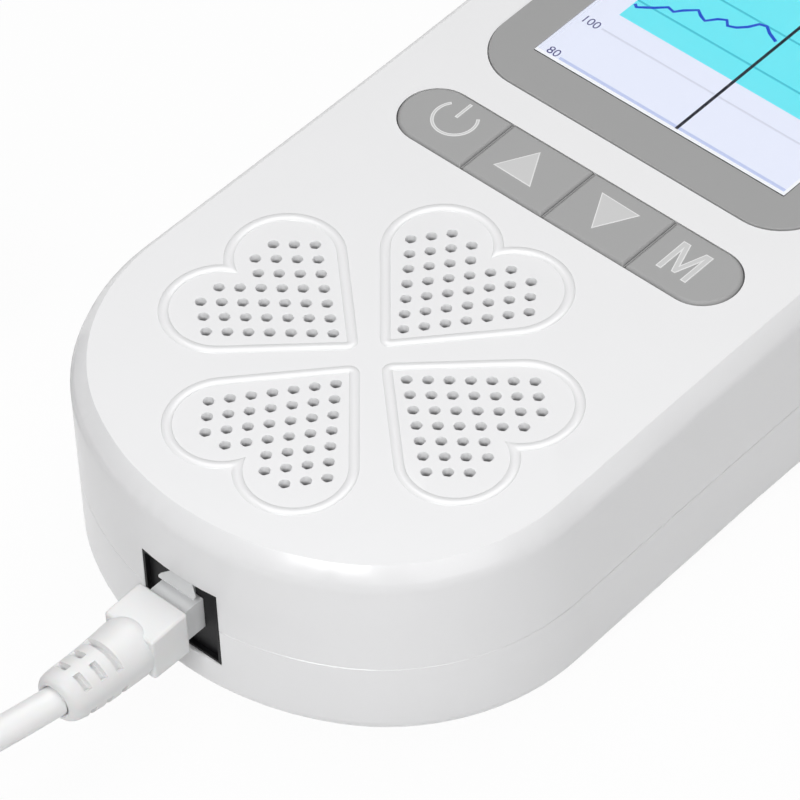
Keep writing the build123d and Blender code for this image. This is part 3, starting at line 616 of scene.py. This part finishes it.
firstBead = newCircle("leafBead1", len(leafLoop(0)))
setBeadRing(firstBead.data.vertices, *clover["bead"][0])
for grow, height in clover["bead"][1:]:
    setBeadRing(pulled(firstBead), grow, height)
facingOut(firstBead)
leafTurn = 360 / clover["leaves"]
beads = [firstBead] + [another(firstBead, f"leafBead{leaf + 1}", turn=leafTurn * leaf,
                               about=(0, clover["middle"], 0))
                       for leaf in range(1, clover["leaves"])]
for bead in beads:
    rides(faired(bead, clover["beadAngle"]), "handset", finishes["shellWhite"])
print("clover beads raised:", len(beads))


# rounded lips and walls of the sound holes

grille = {
    "pitch": 3.385, "lean": 39, "first": 7.9, "rows": (7, 7, 7, 6, 4, 4, 3),
    "sides": 12, "lipAngle": 50,
    # radius, height over the casing
    "lip": [(1.10, -0.05), (1.08, 0.008), (1.0, 0.004), (0.94, -0.07), (0.88, -0.45),
            (0.81, -1.2), (0.78, -2.38)],
}


def holePlaces():
    lean = math.radians(grille["lean"])
    places = []
    for leaf in range(clover["leaves"]):
        turn = math.radians(leafTurn * leaf)
        for row, count in enumerate(grille["rows"]):
            for step in range(count):
                across = grille["pitch"] * (step - row) * math.sin(lean)
                along = grille["first"] + grille["pitch"] * (step + row) * math.cos(lean)
                x = across * math.cos(turn) - along * math.sin(turn)
                y = across * math.sin(turn) + along * math.cos(turn) + clover["middle"]
                places.append(Vector((x, y, 0)) * mm)
    return places


def setLipRing(corners, middle, radius, height):
    for number, corner in enumerate(corners):
        angle = math.tau * number / grille["sides"]
        corner.co = (middle.x + radius * mm * math.cos(angle),
                     middle.y + radius * mm * math.sin(angle), (casing["top"] + height) * mm)


places = holePlaces()
soundHoles = newCircle("soundHoles", grille["sides"])
setLipRing(soundHoles.data.vertices, places[0], *grille["lip"][0])
for radius, height in grille["lip"][1:]:
    setLipRing(pulled(soundHoles), places[0], radius, height)
editing(soundHoles, "SELECT")
for place, following in zip(places, places[1:]):
    bpy.ops.mesh.duplicate_move(TRANSFORM_OT_translate={"value": following - place})
done()
if soundHoles.data.polygons[0].normal.z < 0:
    editing(soundHoles, "SELECT")
    bpy.ops.mesh.flip_normals()
    done()
# the hole walls carry painted shade, darker deeper down
rides(faired(soundHoles, grille["lipAngle"]), "handset", finishes["holeShade"])
print("sound holes lipped:", len(places))


# finishes of the CAD nodes that stay as they are

dressing = {
    "steel": ("board_screws", "casing_screws", "battery_contacts", "speaker_magnet"),
    "gold": ("socket_contacts", "plug_blades"),
    "boardGreen": ("main_board", "socket_board"),
    "blackPlastic": ("board_chips", "key_switches", "lcd_tray", "speaker_frame",
                     "earphone_socket"),
    "keyGrey": ("power_plunger", "up_plunger", "down_plunger", "mode_plunger"),
    "clothDark": ("grille_cloth",),
    "foamBlack": ("speaker_gasket", "battery_foam"),
    "conePaper": ("speaker_cone",),
    "glassDark": ("lcd_glass",),
    "guideMilk": ("lcd_backlight",),
    "wrapBlue": ("battery_pack",),
    "ceramic": ("probe_crystals", "probe_backing"),
    "paneClear": ("screen_window",),
}
for finish, names in dressing.items():
    for node in names:
        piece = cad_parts[node]
        if not piece.data.materials:
            piece.data.materials.append(finishes[finish])
        for slot in piece.material_slots:
            slot.material = finishes[finish]

# copies with rounded edges: node, name, body, finish, slot, edge radius
copies = [
    ("screen_bezel", "screenFrame", "handset", "bezelGrey", "bezel_grey", 0.22),
    ("power_key", "powerCap", "power_button", "keyGrey", "key_grey", 0.2),
    ("up_key", "upCap", "up_button", "keyGrey", "key_grey", 0.2),
    ("down_key", "downCap", "down_button", "keyGrey", "key_grey", 0.2),
    ("mode_key", "modeCap", "mode_button", "keyGrey", "key_grey", 0.2),
    ("probe_socket", "jackBody", "handset", "blackPlastic", "black_plastic", 0.18),
    ("charging_port", "portShell", "handset", "steel", "steel", 0.08),
    ("battery_door", "batteryCover", "door", "shellWhite", "shell_white", 0.15),
    ("probe_face", "probeFace", "probe_lead", "faceCream", "probe_face", 0.4),
    ("probe_relief", "probeSleeve", "probe_lead", "bootWhite", "boot_white", 0.3),
]
dressed = {}
for node, name, body, finish, slot, edge in copies:
    dressed[name] = faired(rounded(cadCopy(node, name), edge))
    rides(dressed[name], body, finishes[finish], (node,))
print("nodes dressed")


# finger ridges on the battery door, at the end that lifts

grips = {"count": 6, "step": 2.4, "first": 7, "half": 9, "width": 0.8, "low": 0.03, "high": 0.4}
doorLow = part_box("battery_door")[0]
near = doorLow[1] / mm + grips["first"]
firstRidge = cutShape("doorRidge1", boxed(-grips["half"], near, grips["half"],
                                          near + grips["width"]), grips["low"], grips["high"])
ridges = [firstRidge] + [another(firstRidge, f"doorRidge{ridge + 1}",
                                 (0, grips["step"] * ridge, 0))
                         for ridge in range(1, grips["count"])]
for ridge in ridges:
    rides(ridge, "door", finishes["shellWhite"])
print("door ridged:", len(ridges))


# probe: two turned halves with a hairline seam between them

probe = {
    "at": (-81.4, -167.8, 9.7), "heading": 93, "tilt": 5.6, "steps": 40, "seam": 0.35,
    # along the probe, radius: out over the skin, then back inside
    "section": [(0, 0), (0, 7.3), (0.3, 8.2), (0.9, 8.8), (1.8, 9.2), (8, 10.1), (15, 11.0),
                (22, 11.75), (26, 12.15), (30, 12.4), (34, 12.45), (38, 12.3), (44, 11.75),
                (50, 11.1), (55, 10.65), (59, 10.5), (62, 10.65), (65, 11.2), (68, 12.35),
                (71, 14.1), (73, 15.4), (75, 16.35), (77, 16.85), (79, 17), (87.6, 17),
                (88.6, 16.85), (89.4, 16.4), (89.9, 15.8), (90, 15.3), (90, 15), (78, 15),
                (74, 13), (60, 8.5), (30, 10.4), (4, 7), (2, 5.5), (2, 0)],
    # name, where its turn starts, the node it stands for
    "halves": [("probeUpper", 0, "probe_upper_shell"), ("probeLower", 180, "probe_lower_shell")],
}
heading, tilt = math.radians(probe["heading"]), math.radians(probe["tilt"])
probeAlong = Vector((math.cos(tilt) * math.cos(heading), math.cos(tilt) * math.sin(heading),
                     math.sin(tilt)))
probeSide = Vector((-math.sin(heading), math.cos(heading), 0))
probeUp = probeAlong.cross(probeSide)
probeTail = Vector(probe["at"]) * mm
for name, start, node in probe["halves"]:
    half = newCircle(name, len(probe["section"]))
    first = math.radians(start + probe["seam"])
    outwards = probeSide * math.cos(first) + probeUp * math.sin(first)
    for corner, (reach, radius) in zip(half.data.vertices, probe["section"]):
        corner.co = probeTail + (probeAlong * reach + outwards * radius) * mm
    editing(half, "SELECT")
    bpy.ops.mesh.spin(steps=probe["steps"], angle=math.radians(180 - 2 * probe["seam"]),
                      center=probeTail, axis=probeAlong)
    bpy.ops.mesh.select_all(action="SELECT")
    bpy.ops.mesh.remove_doubles(threshold=merging)
    bpy.ops.mesh.fill_holes(sides=0)
    done()
    facingOut(half)
    rides(faired(half), "probe_lead", finishes["probeWhite"], (node,))
print("probe turned")


# modular plug: its latch ends in a low thumb tab

tab = {
    # the latch is what stands above this height and behind this place
    "above": 19.5, "from": -105.0,
    # its middle part, and where the bend and the tip begin
    "shoulder": 2.4, "bend": -105.6, "tip": -106,
    # its two heights behind the bend, for corners under and over the split
    "split": 21, "low": 20.35, "high": 20.9,
    # how far the middle and the tip move forward, and the shoulders
    "forward": 1.7, "shoulderForward": 0.9,
    "edge": 0.12,
}
plugClear = cadCopy("plug_body", "plugClear")
for corner in plugClear.data.vertices:
    x, y, z = corner.co / mm
    if z > tab["above"] and y < tab["from"]:
        if y < tab["bend"] or abs(x) > tab["shoulder"]:
            corner.co.z = tab["low" if z < tab["split"] else "high"] * mm
        ahead = y < tab["tip"] or abs(x) < tab["shoulder"]
        corner.co.y += tab["forward" if ahead else "shoulderForward"] * mm
faired(rounded(plugClear, tab["edge"]))
rides(plugClear, "probe_lead", finishes["plugClear"], ("plug_body",))

# black frame that lines the socket's mouth
mouthFrame = {"outer": 7.93, "inner": 7.45, "front": -104.36, "back": -103.4, "endOn": 0.9}
jackFrame = newBlock("jackFrame")
for corner in jackFrame.data.vertices:
    corner.co = (math.copysign(mouthFrame["outer"], corner.co.x) * mm,
                 mouthFrame["front" if corner.co.y < 0 else "back"] * mm,
                 (casing["seam"] + math.copysign(mouthFrame["outer"], corner.co.z)) * mm)
pick(jackFrame, "FACE", lambda face: abs(face.normal.y) > mouthFrame["endOn"])
bpy.ops.mesh.inset(thickness=(mouthFrame["outer"] - mouthFrame["inner"]) * mm)
bpy.ops.mesh.bridge_edge_loops()
done()
rides(faired(jackFrame), "handset", finishes["blackPlastic"])
print("plug and socket made")


# boot: a moulded block and a slotted strain relief that the cable has bent a little

boot = {
    "halfWidth": 5.25, "front": -107.95, "back": -116.1,
    "frontLow": 11.65, "frontHigh": 20.8, "backLow": 11.9, "backHigh": 20.4,
    "edge": 0.55, "edgeSteps": 3, "blockAngle": 40,
    "axis": 16.2, "sides": 72, "barrelAngle": 35,
    # place along the lead, radius
    "barrel": [(-113.9, 4.0), (-114.6, 4.65), (-115.3, 5.05), (-116.1, 5.25), (-117.0, 5.27),
               (-119.0, 5.18), (-121.5, 5.06), (-122.8, 5.0), (-124.6, 4.94), (-125.9, 4.88),
               (-127.8, 4.8), (-129.1, 4.74), (-130.2, 4.6), (-130.9, 4.42), (-131.45, 4.08),
               (-131.85, 3.6), (-131.95, 3.1), (-131.75, 2.8), (-130.6, 2.62)],
    # where it starts to bend, over what length, how far, how sharply
    "bend": (-117.5, 14.5, -0.95, 2.4),
    "slotDepth": 1.25, "slotEdge": 0.14, "slotAngle": 50,
    # from, to along the lead, and the arcs that are cut there
    "slots": [(-121.5, -122.8, [(30, 135), (160, 265), (290, 350)]),
              (-124.6, -125.9, [(35, 75), (95, 135), (155, 195), (215, 255), (275, 350)]),
              (-127.8, -129.1, [(35, 75), (95, 135), (155, 195), (215, 255), (275, 350)])],
}


def bentBy(y):
    start, length, sway, growth = boot["bend"]
    return sway * max(0, (start - y) / length) ** growth


def setBarrelRing(corners, y, radius):
    for number, corner in enumerate(corners):
        angle = math.tau * number / boot["sides"]
        corner.co = ((radius * math.cos(angle) + bentBy(y)) * mm, y * mm,
                     (boot["axis"] + radius * math.sin(angle)) * mm)


def inSlot(face):
    x, y, z = face.center / mm
    angle = math.degrees(math.atan2(z - boot["axis"], x - bentBy(y))) % 360
    return any(high > y > low and any(start < angle < end for start, end in arcs)
               for high, low, arcs in boot["slots"])


bootBlock = newBlock("bootBlock")
for corner in bootBlock.data.vertices:
    end = "front" if corner.co.y > 0 else "back"
    level = end + ("High" if corner.co.z > 0 else "Low")
    corner.co = (math.copysign(boot["halfWidth"], corner.co.x) * mm, boot[end] * mm,
                 boot[level] * mm)
applyModifier(bootBlock, "BEVEL", width=boot["edge"] * mm, segments=boot["edgeSteps"],
              limit_method="NONE")
faired(bootBlock, boot["blockAngle"])

bootBarrel = newCircle("bootBarrel", boot["sides"], "NGON")
setBarrelRing(bootBarrel.data.vertices, *boot["barrel"][0])
editing(bootBarrel, "SELECT")
done()
for y, radius in boot["barrel"][1:]:
    setBarrelRing(pulled(bootBarrel), y, radius)
facingOut(bootBarrel)
pick(bootBarrel, "FACE", inSlot)
bpy.ops.mesh.extrude_region_move(TRANSFORM_OT_translate={"value": (0, 0, 0)})
done()
for corner in bootBarrel.data.vertices:
    if corner.select:
        middle = Vector((bentBy(corner.co.y / mm) * mm, corner.co.y, boot["axis"] * mm))
        corner.co -= (corner.co - middle).normalized() * boot["slotDepth"] * mm
faired(rounded(bootBarrel, boot["slotEdge"], boot["slotAngle"]), boot["barrelAngle"])

focus(bootBlock)
bootBarrel.select_set(True)
bpy.ops.object.join()
bootMoulding = bpy.context.object
bootMoulding.name = "bootMoulding"
rides(bootMoulding, "probe_lead", finishes["bootWhite"], ("plug_boot",))
print("boot made")


# key legends

legends = {
    # rim: width of the painted highlight along each sign's edge
    "low": 36.86, "high": 36.95, "edge": 0.04, "rim": 0.17, "levelFace": 0.99,
    # power: an open ring, with a bar in its gap
    "ringAt": (-25.73, -10.45), "ringOuter": 4.12, "ringInner": 3.5, "ringArc": (140, 398),
    "ringSteps": 40, "bar": (-26.19, -10.1, -25.55, -6.2),
    "up": [(-13.85, -14.4), (-5.69, -14.5), (-9.77, -7.25)],
    "down": [(4.01, -7.85), (8.09, -15.3), (12.34, -8)],
    "mode": [(21.48, -14.92), (22.63, -14.92), (22.63, -9.92), (24.23, -14.32), (25.03, -14.32),
             (26.63, -9.92), (26.63, -14.92), (27.78, -14.92), (27.78, -7.77), (26.23, -7.77),
             (24.63, -12.32), (23.03, -7.77), (21.48, -7.77)],
}
ringFrom, ringTo = legends["ringArc"]
powerRing = (arcPoints(*legends["ringAt"], legends["ringOuter"], ringFrom, ringTo,
                       legends["ringSteps"])
             + arcPoints(*legends["ringAt"], legends["ringInner"], ringTo, ringFrom,
                         legends["ringSteps"]))
signs = [
    ("powerRing", "power_button", powerRing),
    ("powerBar", "power_button", boxed(*legends["bar"])),
    ("upSign", "up_button", legends["up"]),
    ("downSign", "down_button", legends["down"]),
    ("modeSign", "mode_button", legends["mode"]),
]


def onSignTop(face):
    return face.normal.z > legends["levelFace"] and face.center.z > (legends["high"] - hair) * mm


for name, body, outline in signs:
    sign = cutShape(name, outline, legends["low"], legends["high"], legends["edge"])
    rides(sign, body, finishes["legendRimHighlight"])
    # the flat of a sign is a darker grey, so its lighter edge band is a painted highlight
    sign.data.materials.append(finishes["legendFace"])
    pick(sign, "FACE", onSignTop)
    bpy.ops.mesh.inset(thickness=legends["rim"] * mm)
    done()
    for face in sign.data.polygons:
        if face.select:
            face.material_index = 1
print("legends set:", len(signs))


# grey webs that close the gaps between the keys

webs = {"places": (-17.6, 0, 17.6), "half": 0.14, "low": 35.0, "high": 36.42, "from": -18.0,
        "to": -5.2, "edge": 0.05}
firstX = webs["places"][0]
firstWeb = cutShape("keyWeb1", boxed(firstX - webs["half"], webs["from"], firstX + webs["half"],
                                     webs["to"]), webs["low"], webs["high"], webs["edge"])
keyWebs = [firstWeb] + [another(firstWeb, f"keyWeb{number + 2}", (x - firstX, 0, 0))
                        for number, x in enumerate(webs["places"][1:])]
for web in keyWebs:
    rides(faired(web), "handset", finishes["webGrey"])
print("webs set:", len(keyWebs))


# display picture

screen = {
    "level": 35.21, "layer": 0.012, "thick": 0.01,
    # the pane bends the sight line by this much
    "shift": (-0.63, 0.63),
    "glow": 1.06, "row": 0.4, "rowDim": 0.995, "face": (0.01, 0.01, 0.01, 1), "faceRough": 0.6,
    "colours": {
        "paper": (236, 239, 253), "band": (110, 235, 245), "rule": (216, 219, 234),
        "bandRule": (62, 196, 214), "base": (196, 206, 238), "edge": (250, 250, 252),
        "mark": (20, 18, 34), "trace": (22, 72, 204), "figures": (66, 62, 122),
    },
    # name, rectangle as left, low, right and high, layer, colour
    "fields": [("screenEdge", (-27.9, 9.6, 27.9, 83.2), 0, "edge"),
               ("screenPaper", (-26.4, 11.3, 26.4, 81.8), 1, "paper"),
               ("screenBand", (-21.6, 25.87, 26.4, 48.65), 2, "band"),
               ("screenBase", (-22.3, 11.3, 26.4, 11.95), 2, "base")],
    # height and colour of each line of the grid
    "rules": [(21.45, "rule"), (30.63, "bandRule"), (39.6, "bandRule"), (48.6, "bandRule"),
              (57.7, "rule"), (66.8, "rule")],
    "ruleLeft": -21.6, "ruleRight": 26.4, "ruleHalf": 0.2, "ruleLayer": 3,
    "mark": ("screenMark", (3.17, 11.2, 3.77, 66.8), 4, "mark"),
    "traceWidth": 0.6, "traceRound": 2, "traceFlat": 0.02, "traceLift": 0.004, "traceLayer": 5,
    "beats": [(-21.3, 29.6), (-20.6, 29.1), (-19.4, 30.0), (-18.2, 30.9), (-16.5, 32.5),
              (-15.1, 32.2), (-14.1, 33.5), (-12.2, 35.2), (-11.0, 34.4), (-9.7, 33.9),
              (-8.3, 35.6), (-7.0, 36.4), (-6.0, 35.4), (-4.6, 36.0), (-3.2, 37.4),
              (-2.2, 39.1), (-0.9, 39.5), (0.5, 38.5), (2.6, 37.6)],
    "labels": [("80", 12.1), ("100", 21.45), ("120", 30.63), ("140", 39.6), ("160", 48.6),
               ("180", 57.7)],
    "labelAt": -24.0, "labelSize": 2.5, "figureLayer": 4,
    "rate": "142", "rateAt": (-10, 74.6), "rateSize": 9,
    "battery": [("screenCellShell", (15.0, 73.0, 22.6, 76.6), 3, "figures"),
                ("screenCellTip", (22.6, 74.0, 23.3, 75.6), 3, "figures"),
                ("screenCellInside", (15.4, 73.4, 22.2, 76.2), 4, "paper"),
                ("screenCellCharge", (15.8, 73.8, 20.4, 75.8), 5, "figures")],
}


def litFinish(name, colour):
    # a lit part of the display, with its faint pixel rows
    material, nodes, links = newMaterial(name)
    shader = nodes["Principled BSDF"]
    place = nodes.new("ShaderNodeTexCoord")
    rows = nodes.new("ShaderNodeTexWave")
    rows.inputs["Scale"].default_value = 1 / (screen["row"] * mm) / math.tau
    rows.inputs["Distortion"].default_value = 0
    links.new(place.outputs["Object"], rows.inputs["Vector"])
    base = shade(*colour)
    coloured = mixOf(nodes, links, rows.outputs["Fac"], toned(base, screen["rowDim"]), base)
    links.new(coloured, shader.inputs["Emission Color"])
    shader.inputs["Emission Strength"].default_value = screen["glow"]
    shader.inputs["Base Color"].default_value = screen["face"]
    shader.inputs["Roughness"].default_value = screen["faceRough"]
    return material


lit = {key: litFinish("screen" + key[0].upper() + key[1:], colour)
       for key, colour in screen["colours"].items()}
shiftX, shiftY = screen["shift"]


def layerLevel(layer):
    return screen["level"] + screen["layer"] * layer


def onScreen(piece, colour):
    rides(piece, "handset", lit[colour])


def flat(name, sides, layer, colour):
    left, low, right, high = sides
    outline = boxed(left + shiftX, low + shiftY, right + shiftX, high + shiftY)
    level = layerLevel(layer)
    onScreen(cutShape(name, outline, level, level + screen["thick"]), colour)


def figures(name, words, x, y, size):
    bpy.ops.object.select_all(action="DESELECT")
    bpy.ops.object.text_add()
    piece = bpy.context.object
    piece.name = name
    piece.data.body = words
    piece.data.size = size * mm
    piece.data.align_x = "CENTER"
    piece.data.align_y = "CENTER"
    bpy.ops.object.convert(target="MESH")
    piece = bpy.context.object
    piece.location = ((x + shiftX) * mm, (y + shiftY) * mm,
                      layerLevel(screen["figureLayer"]) * mm)
    bpy.ops.object.transform_apply(location=True, rotation=True, scale=True)
    onScreen(piece, "figures")


def trace(name, points):
    # a round pen line laid flat
    line = newLine(name, "POLY", [(x + shiftX, y + shiftY, 0) for x, y in points],
                   screen["traceWidth"], screen["traceRound"])
    focus(line)
    bpy.ops.object.convert(target="MESH")
    line = bpy.context.object
    line.scale = (1, 1, screen["traceFlat"])
    line.location = (0, 0, (layerLevel(screen["traceLayer"]) + screen["traceLift"]) * mm)
    bpy.ops.object.transform_apply(location=True, rotation=True, scale=True)
    onScreen(line, "trace")


for field in screen["fields"]:
    flat(*field)
for number, (y, colour) in enumerate(screen["rules"]):
    sides = (screen["ruleLeft"], y - screen["ruleHalf"],
             screen["ruleRight"], y + screen["ruleHalf"])
    flat(f"screenRule{number + 1}", sides, screen["ruleLayer"], colour)
flat(*screen["mark"])
trace("screenTrace", screen["beats"])
for words, y in screen["labels"]:
    figures("screenLabel" + words, words, screen["labelAt"], y, screen["labelSize"])
figures("screenRate", screen["rate"], *screen["rateAt"], screen["rateSize"])
for part in screen["battery"]:
    flat(*part)
print("display drawn")
